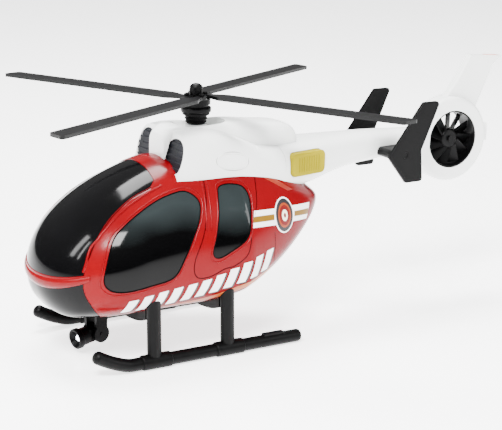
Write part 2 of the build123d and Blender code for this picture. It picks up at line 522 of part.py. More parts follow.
def stabiliser():
    """Bar, two upright end plates and the screws that hold them."""
    bar = stab_bar(0)
    screws = []
    for side, sign in SIDES.items():
        inner, far = sign * STAB_HALF_SPAN, sign * (STAB_HALF_SPAN + PLATE_THICK)
        plate = side_prism(straight_sides(PLATE), min(inner, far), max(inner, far))
        plate = fillet(plate.edges().filter_by(Axis.Y), 2.4)
        face_edges = [edge for edge in plate.edges() if abs(edge.center().Y - far) < 0.01]
        plate = fillet(face_edges, 0.8)
        hole = crosswise(PLATE_SCREW_X, PLATE_SCREW_Z, min(0, far * 2), max(0, far * 2), 1.2 + FIXED_GAP)
        depth = sign * (STAB_HALF_SPAN + PLATE_THICK - 1.2)
        sink = crosswise(PLATE_SCREW_X, PLATE_SCREW_Z, min(depth, 2 * far), max(depth, 2 * far), 2.3)
        save(plate - hole - sink, "end_plate_" + side)
        root = sign * 20.0
        bore = crosswise(PLATE_SCREW_X, PLATE_SCREW_Z, min(root, inner), max(root, inner), 1.2 + FIXED_GAP)
        bar = bar - bore
        shank = crosswise(PLATE_SCREW_X, PLATE_SCREW_Z, min(root, depth), max(root, depth), 1.2)
        top = sign * (STAB_HALF_SPAN + PLATE_THICK - 0.3)
        screws.append(shank + crosswise(PLATE_SCREW_X, PLATE_SCREW_Z, min(depth, top), max(depth, top), 2.1))
    save(bar, "stabiliser_bar")
    save(Compound(screws), "end_plate_screws")


def tail_fan():
    """Duct liner with its spokes, the axle fixed in it, and the fan."""
    liner = crosswise(DUCT_X, DUCT_Z, -SHROUD_HALF + 0.4, SHROUD_HALF - 0.4, DUCT_RADIUS)
    liner = liner - crosswise(DUCT_X, DUCT_Z, -20, 20, LINER_BORE)
    for turn in (90, 210, 330):
        spoke = Pos(0, 0, 13) * Box(3.0, 2.4, 19.5)
        liner = liner + Pos(DUCT_X, 6.6, DUCT_Z) * Rot(0, turn, 0) * spoke
    liner = liner + crosswise(DUCT_X, DUCT_Z, 3.8, 8.2, 5.0)
    save(liner - crosswise(DUCT_X, DUCT_Z, -20, 20, FAN_AXLE_RADIUS + FIXED_GAP), "tail_duct_liner")
    axle = crosswise(DUCT_X, DUCT_Z, FAN_HUB_Y[0] - 0.4, 8.2, FAN_AXLE_RADIUS)
    head = crosswise(DUCT_X, DUCT_Z, FAN_HUB_Y[0] - 1.6, FAN_HUB_Y[0] - 0.4, 2.2)
    save(axle + head, "tail_fan_axle")
    hub = crosswise(DUCT_X, DUCT_Z, FAN_HUB_Y[0], FAN_HUB_Y[1], FAN_HUB_RADIUS)
    rim_edges = [edge for edge in hub.edges().filter_by(GeomType.CIRCLE) if edge.center().Y < 0]
    hub = fillet(rim_edges, 1.8)
    middle_y = (FAN_HUB_Y[0] + FAN_HUB_Y[1]) / 2
    room = crosswise(DUCT_X, DUCT_Z, -20, 20, FAN_RADIUS)
    for number in range(FAN_BLADES):
        vane = Pos(0, 0, (FAN_HUB_RADIUS + FAN_RADIUS) / 2) * Rot(0, 0, FAN_PITCH) * Box(*VANE)
        turn = 360 * number / FAN_BLADES
        hub = hub + (Pos(DUCT_X, middle_y, DUCT_Z) * Rot(0, turn, 0) * vane & room)
    save(hub - crosswise(DUCT_X, DUCT_Z, -20, 20, FAN_AXLE_RADIUS + RUNNING_GAP), "tail_fan")


# ------------------------------------------------------------------ sound button
def button_place(shape):
    """Puts a piece drawn round the button's own centre, outer side towards -Y, on the boom."""
    x, y, z = BUTTON_CENTRE
    return Pos(x, y, z) * Rot(0, 0, BUTTON_YAW) * shape


def button_body(gap, front_y, back_y):
    """The rounded block of the button between two depths, before it is put on the boom."""
    body = Box(BUTTON_LONG + 2 * gap, back_y - front_y, BUTTON_TALL + 2 * gap)
    body = fillet(body.edges().filter_by(Axis.Y), BUTTON_CORNER + gap)
    return Pos(0, (front_y + back_y) / 2, 0) * body


def sound_button():
    """Ribbed push button with a retaining flange, over a rubber dome on a small switch board."""
    body = button_body(0, BUTTON_FACE_Y, BUTTON_BACK_Y)
    face_edges = [edge for edge in body.edges() if abs(edge.center().Y - BUTTON_FACE_Y) < 0.01]
    body = fillet(face_edges, 1.2)
    for number in range(9):
        x = (number - 4) * 2.4
        body = body + Pos(x, BUTTON_FACE_Y - 0.1, 0) * Box(0.8, 0.5, BUTTON_TALL - 6)
    flange = Pos(0, BUTTON_BACK_Y + 0.4, 0) * Box(BUTTON_LONG + 2, 1.2, 8.0)
    stem_y = BUTTON_BACK_Y + 1.4
    stem = Pos(0, stem_y - 0.6, 0) * Rot(90, 0, 0) * Cylinder(2.5, 1.2)
    save(button_place(body + flange + stem), "sound_button")
    dome_y = stem_y + BUTTON_TRAVEL + DOME_GAP
    dome = Pos(0, dome_y + DOME_TALL / 2, 0) * Rot(90, 0, 0) * Cone(4.2, 2.6, DOME_TALL)
    board = Pos(0, dome_y + DOME_TALL + 0.7, 0) * Box(26, 1.4, 11)
    save(button_place(dome), "button_dome")
    save(button_place(board), "button_switch_board")


# ------------------------------------------------------------------ landing gear
def skid_path():
    """Centre line of a skid tube from its turned-up front tip to its rear end."""
    straight = Line((SKID_BEND_X + 6, 0, SKID_Z), (SKID_REAR_X, 0, SKID_Z))
    lift = Spline((SKID_TIP_X, 0, SKID_TIP_Z), (SKID_BEND_X - 4, 0, SKID_Z + 2.0),
                  (SKID_BEND_X + 6, 0, SKID_Z), tangents=((1, 0, -0.62), (1, 0, 0)))
    return Wire([lift, straight])


def landing_gear(proud):
    """Two tubes flattened underneath, four oval legs with sleeves, and two saddles under the belly."""
    for side, sign in SIDES.items():
        path = skid_path()
        start = Plane(origin=path.position_at(0), z_dir=path.tangent_at(0))
        tube = sweep(start * Circle(SKID_RADIUS), path=path)
        ends = [edge for edge in tube.edges() if edge.is_closed and not SKID_BEND_X - 3 < edge.center().X < 50]
        tube = Pos(0, sign * SKID_Y, 0) * fillet(ends, SKID_END_ROUND)
        strip = block(27.0, 43.6, sign * SKID_Y - 2.2, sign * SKID_Y + 2.2, SKID_Z + 3, SKID_Z + 5.4)
        tube = tube + fillet(strip.edges().filter_by(Axis.Z), 1.0)
        tube = tube - block(-120, 80, sign * SKID_Y - 12, sign * SKID_Y + 12, -10, 0)
        save(tube, "skid_tube_" + side)
        for name, station in LEG_STATIONS.items():
            ahead, behind = station - SLEEVE_AHEAD, station + SLEEVE_BEHIND
            sleeve = lengthwise(sign * SKID_Y, SKID_Z, ahead, behind, SLEEVE_RADIUS)
            sleeve = fillet(sleeve.edges().filter_by(GeomType.CIRCLE), 0.8)
            sleeve = sleeve - block(-120, 80, -70, 70, -10, 0.35)
            foot = Plane((station, sign * SKID_Y, SKID_Z)) * Ellipse(LEG_HALF_LENGTH, LEG_HALF_WIDTH)
            head = Plane((station, sign * LEG_TOP_Y, LEG_TOP_Z)) * Ellipse(LEG_HALF_LENGTH, LEG_HALF_WIDTH)
            leg = Solid.make_loft([foot.wire(), head.wire()])
            bore = lengthwise(sign * SKID_Y, SKID_Z, station - 20, station + 20, SKID_RADIUS)
            piece = (leg + sleeve) - bore - proud
            save(max(piece.solids(), key=lambda part: part.volume), "skid_leg_" + name + "_" + side)
    for name, station in LEG_STATIONS.items():
        ahead, behind = station - CROSS_HALF_LENGTH, station + CROSS_HALF_LENGTH
        span = block(ahead, behind, -CROSS_HALF_SPAN, CROSS_HALF_SPAN, 20, CROSS_TOP_Z)
        save((pod_solid(-CROSS_DEPTH) - proud) & span, "skid_saddle_" + name)


# ------------------------------------------------------------------ searchlight
def lamp_place(shape, tilt):
    """Turns a piece drawn round the tilt pin, face towards -X, to the lamp's resting pose."""
    return Pos(LAMP_X, 0, LAMP_Z) * Rot(0, 0, LAMP_YAW) * Rot(0, -tilt, 0) * shape


def searchlight():
    """Swivelling fork under the belly, lamp housing on a tilt pin, and its light."""
    disc = upright(0, 0, SWIVEL_DISC_Z[0] - LAMP_Z, SWIVEL_DISC_Z[1] - LAMP_Z, SWIVEL_DISC_RADIUS)
    fork = disc + upright(0, 0, SWIVEL_DISC_Z[0] - LAMP_Z, SWIVEL_PIN_TOP - LAMP_Z, SWIVEL_PIN_RADIUS)
    for sign in SIDES.values():
        low, high = min(sign * CHEEK_IN, sign * CHEEK_OUT), max(sign * CHEEK_IN, sign * CHEEK_OUT)
        cheek = block(-4.6, 4.6, low, high, 0, SWIVEL_DISC_Z[1] - LAMP_Z - 1)
        cheek = cheek + crosswise(0, 0, low, high, CHEEK_RADIUS)
        fork = fork + cheek
    fork = fork & upright(0, 0, -20, 40, 11.0)
    fork = fork - crosswise(0, 0, -20, 20, 1.5 + FIXED_GAP)
    save(lamp_place(fork, 0), "searchlight_fork")
    pin = crosswise(0, 0, -CHEEK_OUT - 0.6, CHEEK_OUT + 0.6, 1.5)
    save(lamp_place(pin, 0), "searchlight_pin")
    knuckle = crosswise(0, 0, -LAMP_KNUCKLE_HALF, LAMP_KNUCKLE_HALF, 5.4)
    neck = block(-8.5, 0, -LAMP_KNUCKLE_HALF, LAMP_KNUCKLE_HALF, -4.6, 4.6)
    barrel = lengthwise(0, 0, -LAMP_REACH + 0.6, -8.2, LAMP_BODY_RADIUS)
    barrel = fillet(barrel.edges().filter_by(GeomType.CIRCLE), 1.0)
    rim = lengthwise(0, 0, -LAMP_REACH, -LAMP_REACH + 4.2, LAMP_RADIUS)
    rim = fillet(rim.edges().filter_by(GeomType.CIRCLE), 0.7)
    body = knuckle + neck + barrel + rim
    dish = Pos(-LAMP_REACH + 2.0, 0, 0) * Rot(0, 90, 0) * Cone(6.1, 3.4, 4.2)
    body = body - dish - lengthwise(0, 0, -LAMP_REACH, -9.0, LED_RADIUS + FIXED_GAP)
    body = body - crosswise(0, 0, -20, 20, 1.5 + RUNNING_GAP)
    save(lamp_place(body, LAMP_TILT), "searchlight_housing")
    bulb = lengthwise(0, 0, -LED_FACE + LED_RADIUS, -9.2, LED_RADIUS)
    bulb = bulb + Pos(-LED_FACE + LED_RADIUS, 0, 0) * Sphere(LED_RADIUS)
    save(lamp_place(bulb, LAMP_TILT), "searchlight_led")


# ------------------------------------------------------------------ build
os.makedirs("parts", exist_ok=True)
outer_pod = pod_solid(0)
proud_pod = pod_solid(-0.08)
boom_body = oval_loft(BOOM)
cabin(outer_pod, outer_pod - pod_solid(WALL))
battery_bay()
cowling(proud_pod, boom_body)
rotor_head()
single_blade = rotor_blade()
for letter, heading in BLADE_ANGLES.items():
    save(single_blade.rotate(Axis.Z, heading), "rotor_blade_" + letter)
tail_boom(proud_pod, boom_body)
stabiliser()
tail_fan()
sound_button()
landing_gear(proud_pod)
searchlight()
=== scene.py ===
import math
import bpy
import bmesh
from mathutils import Vector, Matrix
from mathutils.bvhtree import BVHTree


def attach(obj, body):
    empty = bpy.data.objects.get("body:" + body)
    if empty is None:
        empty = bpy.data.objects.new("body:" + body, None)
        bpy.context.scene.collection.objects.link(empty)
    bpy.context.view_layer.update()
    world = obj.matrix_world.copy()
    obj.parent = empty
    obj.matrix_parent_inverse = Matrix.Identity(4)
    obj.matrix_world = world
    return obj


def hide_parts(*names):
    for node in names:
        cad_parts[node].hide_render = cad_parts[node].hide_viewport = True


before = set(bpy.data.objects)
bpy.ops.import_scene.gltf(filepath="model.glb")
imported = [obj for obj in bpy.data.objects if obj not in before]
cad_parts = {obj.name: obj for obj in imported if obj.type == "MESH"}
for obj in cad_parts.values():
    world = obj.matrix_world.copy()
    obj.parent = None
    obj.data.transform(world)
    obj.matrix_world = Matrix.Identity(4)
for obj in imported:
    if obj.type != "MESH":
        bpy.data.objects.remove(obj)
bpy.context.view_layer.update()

# Looks for the toy rescue helicopter. Lengths are millimetres, with X running aft from the rotor mast's
# axis and Z up from the floor, until at() turns them into the part's own metres. A side-view place is (x, z).
MM = 0.001
MAST_STATION = 66.35
PORT, STARBOARD = -1, 1
SIDES = ((PORT, "port"), (STARBOARD, "starboard"))


def at(x, y, z):
    return Vector(((x - MAST_STATION) * MM, y * MM, z * MM))


# ---------------------------------------------------------- cabin pod surface, the same law as the CAD model
NOSE_X, NOSE_Z = -124.8, 60.5
TAIL_X, TAIL_LOW_Z, TAIL_MID_Z, TAIL_HIGH_Z = 95.0, 93.6, 96.3, 99.0
HALF_WIDTH, TAIL_HALF_WIDTH = 60.5, 7.5
BELLY_Z, MID_Z, ROOF_Z = 32.0, 70.0, 135.6
TOP_POWER, BOTTOM_POWER = 2.0, 2.8
WIDEST_X, BELLY_X, ROOF_X = -66.0, -102.0, -36.5
SIDE_TAPER_X, BELLY_RISE_X, ROOF_DROP_X = 14.0, -14.0, 25.0
SIDE_NOSE, BELLY_NOSE, ROOF_NOSE = (2.12, 2.04), (2.25, 2.09), (1.23, 2.05)
SIDE_TAIL, MID_TAIL, BELLY_TAIL, ROOF_TAIL = 0.95, 1.2, 2.1, 1.6
LEAST_REACH, LEAST_SPAN = 0.05, 0.1
SLOPE_STEP = 0.4


def clamped(share):
    return min(max(share, 0.0), 1.0)


def rise(share, near_power, far_power):
    """From 0 to 1 along a rounded nose: blunt at the tip, level at the end."""
    return (1 - (1 - clamped(share)) ** near_power) ** (1 / far_power)


def pod_station(x):
    """Half width, lowest, widest and highest level of the pod at station x."""
    half = HALF_WIDTH * rise((x - NOSE_X) / (WIDEST_X - NOSE_X), *SIDE_NOSE)
    low = NOSE_Z - (NOSE_Z - BELLY_Z) * rise((x - NOSE_X) / (BELLY_X - NOSE_X), *BELLY_NOSE)
    high = NOSE_Z + (ROOF_Z - NOSE_Z) * rise((x - NOSE_X) / (ROOF_X - NOSE_X), *ROOF_NOSE)
    mid = NOSE_Z + (MID_Z - NOSE_Z) * clamped((x - NOSE_X) / (WIDEST_X - NOSE_X))
    if x > SIDE_TAPER_X:
        share = clamped((x - SIDE_TAPER_X) / (TAIL_X - SIDE_TAPER_X))
        half = TAIL_HALF_WIDTH + (half - TAIL_HALF_WIDTH) * math.sqrt(1 - share ** SIDE_TAIL)
        mid = MID_Z + (TAIL_MID_Z - MID_Z) * share ** MID_TAIL
    if x > BELLY_RISE_X:
        share = clamped((x - BELLY_RISE_X) / (TAIL_X - BELLY_RISE_X))
        low = TAIL_LOW_Z - (TAIL_LOW_Z - low) * (1 - share ** BELLY_TAIL)
    if x > ROOF_DROP_X:
        share = clamped((x - ROOF_DROP_X) / (TAIL_X - ROOF_DROP_X))
        high = TAIL_HIGH_Z + (high - TAIL_HIGH_Z) * (1 - share ** ROOF_TAIL)
    return half, low, mid, high


def pod_point(x, turn, inset):
    """(y, z) on the skin at station x; turn runs from the crown (90 degrees) over port to the belly (270)."""
    half, low, mid, high = pod_station(x)
    across, up = math.cos(turn), math.sin(turn)
    power = 2 / (TOP_POWER if up > 0 else BOTTOM_POWER)
    reach = max((high - mid if up > 0 else mid - low) - inset, LEAST_REACH)
    side = max(half - inset, LEAST_REACH)
    y = math.copysign(abs(across) ** power, across) * side
    z = mid + math.copysign(abs(up) ** power, up) * reach
    return y, z


def skin_y(x, z):
    """How far out the pod's skin is at side-view place (x, z)."""
    half, low, mid, high = pod_station(x)
    if z >= mid:
        share, power = min(1.0, (z - mid) / max(high - mid, LEAST_SPAN)), TOP_POWER
    else:
        share, power = min(1.0, (mid - z) / max(mid - low, LEAST_SPAN)), BOTTOM_POWER
    return half * (1 - share ** power) ** (1 / power)


def on_skin(x, z, side, proud):
    """A point over the skin at side-view place (x, z), standing proud along the surface normal."""
    y = skin_y(x, z)
    slope_x = (skin_y(x + SLOPE_STEP, z) - skin_y(x - SLOPE_STEP, z)) / (2 * SLOPE_STEP)
    slope_z = (skin_y(x, z + SLOPE_STEP) - skin_y(x, z - SLOPE_STEP)) / (2 * SLOPE_STEP)
    normal = Vector((-slope_x, 1.0, -slope_z)).normalized()
    return at(x + normal.x * proud, side * (y + normal.y * proud), z + normal.z * proud)


# ---------------------------------------------------------- materials
SOFT_IOR = 1.2
COAT_ROUGH = 0.04
MOTTLE_NOISE = {"Scale": 38.0, "Detail": 4.0, "Roughness": 0.6}
HAZE_NOISE = {"Scale": 120.0, "Detail": 6.0, "Roughness": 0.7}
GRAIN_NOISE = {"Scale": 1400.0, "Detail": 2.0}
PRINT_NOISE = {"Scale": 300.0, "Detail": 5.0}
GLAZE_NOISE = {"Scale": 160.0, "Detail": 4.0}
REFLECTION_NOISE = {"Scale": 26.0, "Detail": 1.0}
LAMP_NOISE = {"Scale": 700.0, "Detail": 2.0}
FLOOR_NOISE = {"Scale": 3.0, "Detail": 3.0}
GRAIN_DEPTH = 0.0004
PRINT_SCUFF = 0.12
# Height band and waviness of the painted grey reflection on the side glazing.
REFLECTION_WAVE, REFLECTION_LOW, REFLECTION_HIGH = 0.030, 0.104, 0.122
LAMP_POWER = 14.0


def new_material(name):
    """A material with its tree, its shader and the object coordinates."""
    material = bpy.data.materials.new(name)
    material.use_nodes = True
    tree = material.node_tree
    place = tree.nodes.new("ShaderNodeTexCoord").outputs["Object"]
    return material, tree, tree.nodes["Principled BSDF"], place


def settings(node, values):
    for key, value in values.items():
        node.inputs[key].default_value = value


def noise(tree, place, values):
    cloud = tree.nodes.new("ShaderNodeTexNoise")
    settings(cloud, values)
    tree.links.new(place, cloud.inputs["Vector"])
    return cloud.outputs["Fac"]


def along(tree, place, axis):
    split = tree.nodes.new("ShaderNodeSeparateXYZ")
    tree.links.new(place, split.inputs["Vector"])
    return split.outputs[axis]


def two_tone(tree, amount, first, second, start=0.0, end=1.0):
    """A colour that runs from first to second while amount goes from start to end."""
    ramp = tree.nodes.new("ShaderNodeValToRGB")
    near, far = ramp.color_ramp.elements
    near.position, far.position = start, end
    near.color, far.color = (*first, 1), (*second, 1)
    tree.links.new(amount, ramp.inputs["Fac"])
    return ramp.outputs["Color"]


def remapped(tree, amount, low, high, start=0.0, end=1.0):
    """A value that runs from low to high while amount goes from start to end."""
    spread = tree.nodes.new("ShaderNodeMapRange")
    settings(spread, {"From Min": start, "From Max": end, "To Min": low, "To Max": high})
    tree.links.new(amount, spread.inputs["Value"])
    return spread.outputs["Result"]


def moulded(name, colour, rough=0.25, coat=0.0, grain=0.02, mottle=0.04, shine=1.0, scuff=0.08, metallic=0.0):
    """Moulded plastic: slight colour mottle, uneven gloss, fine grain and faint handling scuffs."""
    material, tree, shader, place = new_material(name)
    darker = [c * (1 - mottle) for c in colour]
    lighter = [min(1.0, c * (1 + mottle)) for c in colour]
    colours = two_tone(tree, noise(tree, place, MOTTLE_NOISE), darker, lighter, 0.3, 0.7)
    tree.links.new(colours, shader.inputs["Base Color"])
    gloss = remapped(tree, noise(tree, place, HAZE_NOISE), rough, rough + scuff, 0.35, 0.75)
    tree.links.new(gloss, shader.inputs["Roughness"])
    bump = tree.nodes.new("ShaderNodeBump")
    settings(bump, {"Strength": grain, "Distance": GRAIN_DEPTH})
    tree.links.new(noise(tree, place, GRAIN_NOISE), bump.inputs["Height"])
    tree.links.new(bump.outputs["Normal"], shader.inputs["Normal"])
    settings(shader, {"IOR": SOFT_IOR, "Specular IOR Level": shine, "Metallic": metallic,
                      "Coat Weight": coat, "Coat Roughness": COAT_ROUGH})
    return material


def printed(name, first, second, low_x, high_x, rough=0.3):
    """A printed sticker whose colour runs along the toy's length."""
    material, tree, shader, place = new_material(name)
    start, end = (low_x - MAST_STATION) * MM, (high_x - MAST_STATION) * MM
    share = remapped(tree, along(tree, place, "X"), 0.0, 1.0, start, end)
    tree.links.new(two_tone(tree, share, first, second), shader.inputs["Base Color"])
    gloss = remapped(tree, noise(tree, place, PRINT_NOISE), rough, rough + PRINT_SCUFF)
    tree.links.new(gloss, shader.inputs["Roughness"])
    return material


def glazed_with_reflection(name, dark, painted_reflection):
    """Side glazing: dark below, a greyer painted reflection above, with a soft wavy line between them."""
    material, tree, shader, place = new_material(name)
    shift = tree.nodes.new("ShaderNodeMath")
    shift.operation = "MULTIPLY_ADD"
    shift.inputs[1].default_value = REFLECTION_WAVE
    tree.links.new(noise(tree, place, REFLECTION_NOISE), shift.inputs[0])
    tree.links.new(along(tree, place, "Z"), shift.inputs[2])
    share = remapped(tree, shift.outputs["Value"], 0.0, 1.0, REFLECTION_LOW, REFLECTION_HIGH)
    tree.links.new(two_tone(tree, share, dark, painted_reflection), shader.inputs["Base Color"])
    gloss = remapped(tree, noise(tree, place, GLAZE_NOISE), 0.06, 0.12)
    tree.links.new(gloss, shader.inputs["Roughness"])
    settings(shader, {"IOR": SOFT_IOR})
    return material


def lit(name, values, first, second, power, rough):
    """A surface that gives off its own faintly clouded colour."""
    material, tree, shader, place = new_material(name)
    colours = two_tone(tree, noise(tree, place, values), first, second)
    tree.links.new(colours, shader.inputs["Base Color"])
    tree.links.new(colours, shader.inputs["Emission Color"])
    settings(shader, {"Emission Strength": power, "Roughness": rough})
    return material


RED = moulded("red_gloss", (0.125, 0.0001, 0.0022), rough=0.16, grain=0.012, mottle=0.05, shine=0.48)
GLAZE = moulded("black_glazing", (0.0015, 0.0015, 0.0017), rough=0.08, grain=0.0, mottle=0.2, shine=0.44,
                scuff=0.05)
WHITE = moulded("white_gloss", (0.72, 0.73, 0.72), rough=0.22, grain=0.01, mottle=0.012)
BLACK = moulded("satin_black", (0.001, 0.001, 0.0011), rough=0.34, grain=0.06, mottle=0.15, shine=0.36,
                scuff=0.14)
BLADE = moulded("blade_black", (0.0016, 0.0016, 0.0018), rough=0.3, grain=0.05, mottle=0.15, shine=0.8,
                scuff=0.12)
GRILLE = moulded("grille_grey", (0.006, 0.0065, 0.009), rough=0.42, grain=0.12, mottle=0.12, scuff=0.15)
YELLOW = moulded("button_yellow", (0.25, 0.205, 0.0), rough=0.45, grain=0.05, mottle=0.03, shine=0.2)
STEEL = moulded("plated_steel", (0.55, 0.55, 0.56), rough=0.28, grain=0.05, metallic=1.0, scuff=0.2)
BOARD = moulded("board_green", (0.02, 0.17, 0.06), rough=0.4, grain=0.05)
RUBBER = moulded("dome_rubber", (0.12, 0.12, 0.125), rough=0.6, grain=0.1)
CELL = moulded("cell_wrap", (0.08, 0.09, 0.11), rough=0.3)
# Black bead standing in for the shade in the gaps round the windows and windscreen.
GAP = moulded("shadow_line", (0.0008, 0.0006, 0.0006), rough=0.6, grain=0.05, shine=0.12)
# Dark red bead standing in for the shade in the door and panel grooves.
RED_SHADE_LINE = moulded("red_shade_line", (0.016, 0.0002, 0.0004), rough=0.5, shine=0.12)
# Grey bead standing in for the shade in the groove round the cowling oval.
GROOVE_SHADE = moulded("white_groove_shade", (0.30, 0.30, 0.30), rough=0.4, shine=0.4)
TIP_RED = moulded("tip_lens", (0.83, 0.42, 0.38), coat=0.2)
CREAM = moulded("print_cream", (0.86, 0.80, 0.66), rough=0.3)
PRINT_WHITE = moulded("print_white", (0.86, 0.86, 0.85), rough=0.3, mottle=0.02)
PRINT_DARK = moulded("print_charcoal", (0.014, 0.014, 0.016), rough=0.3)
PRINT_RED = moulded("print_red", (0.12, 0.003, 0.003), rough=0.3)
PRINT_ORANGE = moulded("print_orange", (0.26, 0.04, 0.006), rough=0.3)
OCHRE = moulded("print_ochre", (0.15, 0.075, 0.0002), rough=0.3)
FLAME = printed("print_flame", (0.26, 0.015, 0.002), (0.34, 0.10, 0.008), -60, 36)
PATCH = printed("print_patch", (0.22, 0.016, 0.002), (0.17, 0.004, 0.002), 34, 60)
GLOW = lit("lamp_light", LAMP_NOISE, (0.80, 0.88, 1.0), (1.0, 1.0, 1.0), LAMP_POWER, 0.12)
# Side glazing: black below, with a painted grey reflection on its upper part.
SIDE_GLAZE = glazed_with_reflection("side_glazing", (0.0006, 0.0006, 0.0007), (0.0125, 0.0165, 0.0170))


# ---------------------------------------------------------- mesh helpers
BEAD_ROUNDS, WELD = 2, 1e-6
ROOT = 0.4
DISC_ROWS, DISC_STEPS, PINHOLE = 3, 48, 0.02


def new_object(name, mesh):
    item = bpy.data.objects.new(name, mesh)
    bpy.context.scene.collection.objects.link(item)
    return item


def outward(item, weld=False):
    """Points the faces out of a closed mesh, after joining doubled corners if asked."""
    work = bmesh.new()
    work.from_mesh(item.data)
    if weld:
        bmesh.ops.remove_doubles(work, verts=work.verts, dist=WELD)
    bmesh.ops.recalc_face_normals(work, faces=work.faces)
    work.to_mesh(item.data)
    work.free()


def shade(item, degrees):
    """Smooth shading, with edges steeper than this many degrees kept sharp."""
    item.data.polygons.foreach_set("use_smooth", [True] * len(item.data.polygons))
    item.data.set_sharp_from_angle(angle=math.radians(degrees))


def apply_modifiers(item):
    """Makes what the modifiers do part of the piece's own mesh."""
    graph = bpy.context.evaluated_depsgraph_get()
    mesh = bpy.data.meshes.new_from_object(item.evaluated_get(graph))
    item.modifiers.clear()
    item.data = mesh


def spline(a, b, c, d, count):
    """Points from b up to c on the smooth curve through a, b, c and d."""
    out = []
    for step in range(count):
        t = step / count
        out.append(tuple(
            0.5 * ((2 * q) + (r - p) * t + (2 * p - 5 * q + 4 * r - s) * t * t
                   + (3 * q - p - 3 * r + s) * t ** 3) for p, q, r, s in zip(a, b, c, d)))
    return out


def loop_points(points, count=12):
    """A smooth closed curve through the listed points."""
    out, total = [], len(points)
    for i in range(total):
        out += spline(*(points[(i + k - 1) % total] for k in range(4)), count)
    return out


def open_points(points, count=12):
    """A smooth open curve through the listed points."""
    first = tuple(2 * a - b for a, b in zip(points[0], points[1]))
    last = tuple(2 * a - b for a, b in zip(points[-1], points[-2]))
    padded = [first] + list(points) + [last]
    out = []
    for i in range(len(points) - 1):
        out += spline(*padded[i:i + 4], count)
    out.append(tuple(points[-1]))
    return out


def between(a, b, share):
    return tuple(p + (q - p) * share for p, q in zip(a, b))


def paced(points, count):
    """The same line as count evenly spaced points."""
    gone = [0.0]
    for a, b in zip(points, points[1:]):
        gone.append(gone[-1] + math.dist(a, b))
    out, k = [], 0
    for step in range(count):
        target = gone[-1] * step / (count - 1)
        while k < len(points) - 2 and gone[k + 1] < target:
            k += 1
        out.append(between(points[k], points[k + 1], (target - gone[k]) / (gone[k + 1] - gone[k])))
    return out


def grown(points, amount):
    """The outline moved out (or in, if negative) by about amount."""
    middle = [sum(p[k] for p in points) / len(points) for k in range(2)]
    scale = 1 + amount / (sum(math.dist(p, middle) for p in points) / len(points))
    return [between(middle, p, scale) for p in points]


def bead(name, places, radius, material, slot, closed=False):
    """A round bead along a line of points given in metres."""
    curve = bpy.data.curves.new(name, "CURVE")
    curve.dimensions = "3D"
    line = curve.splines.new("POLY")
    line.points.add(len(places) - 1)
    for point, place in zip(line.points, places):
        point.co = (*place, 1)
    line.use_cyclic_u = closed
    curve.bevel_depth = radius * MM
    curve.bevel_resolution = BEAD_ROUNDS
    curve.use_fill_caps = True
    holder = new_object(name + "_line", curve)
    graph = bpy.context.evaluated_depsgraph_get()
    mesh = bpy.data.meshes.new_from_object(holder.evaluated_get(graph))
    bpy.data.objects.remove(holder)
    item = new_object(name, mesh)
    mesh.materials.clear()
    mesh.materials.append(material)
    outward(item, weld=True)
    shade(item, 50)
    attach(item, "airframe")


def slab(name, outer, inner, rows, columns, material):
    """A closed slab of trim between two grids of points, each given row by row."""
    base, faces = len(outer), []
    for r in range(rows - 1):
        for c in range(columns - 1):
            k = r * columns + c
            quad = [k, k + 1, k + columns + 1, k + columns]
            faces += [quad, [base + i for i in reversed(quad)]]
    rim = list(range(columns)) + [r * columns + columns - 1 for r in range(1, rows)]
    rim += [(rows - 1) * columns + c for c in range(columns - 2, -1, -1)]
    rim += [r * columns for r in range(rows - 2, 0, -1)]
    for a, b in zip(rim, rim[1:] + rim[:1]):
        faces.append([a, base + a, base + b, b])
    mesh = bpy.data.meshes.new(name)
    mesh.from_pydata([tuple(p) for p in outer + inner], [], faces)
    mesh.validate()
    item = new_object(name, mesh)
    outward(item)
    shade(item, 30)
    mesh.materials.append(material)
    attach(item, "airframe")


def sticker(name, grid, side, material, proud):
    """A thin slab lying on the pod, from a grid of side-view places."""
    outer, inner = ([on_skin(x, z, side, level) for row in grid for x, z in row]
                    for level in (proud, -ROOT))
    slab(name, outer, inner, len(grid), len(grid[0]), material)


def quad_grid(a, b, c, d, rows, columns):
    """Side-view grid between corners a-b along the top and d-c along the bottom."""
    return [[between(between(a, b, k / columns), between(d, c, k / columns), r / rows)
             for k in range(columns + 1)] for r in range(rows + 1)]


def ribbon_grid(top, bottom, columns, rows=3):
    """Side-view grid between two smooth lines with as many points each."""
    upper, lower = open_points(top, columns), open_points(bottom, columns)
    return [[between(a, b, r / rows) for a, b in zip(upper, lower)] for r in range(rows + 1)]


def disc_grid(x, z, length, height):
    """Side-view grid of an oval disc with a pinhole at its middle; length and height are its half axes."""
    grid = []
    for r in range(DISC_ROWS):
        share = PINHOLE + (1 - PINHOLE) * r / (DISC_ROWS - 1)
        turns = [2 * math.pi * k / DISC_STEPS for k in range(DISC_STEPS + 1)]
        grid.append([(x + length * share * math.cos(turn), z + height * share * math.sin(turn))
                     for turn in turns])
    return grid


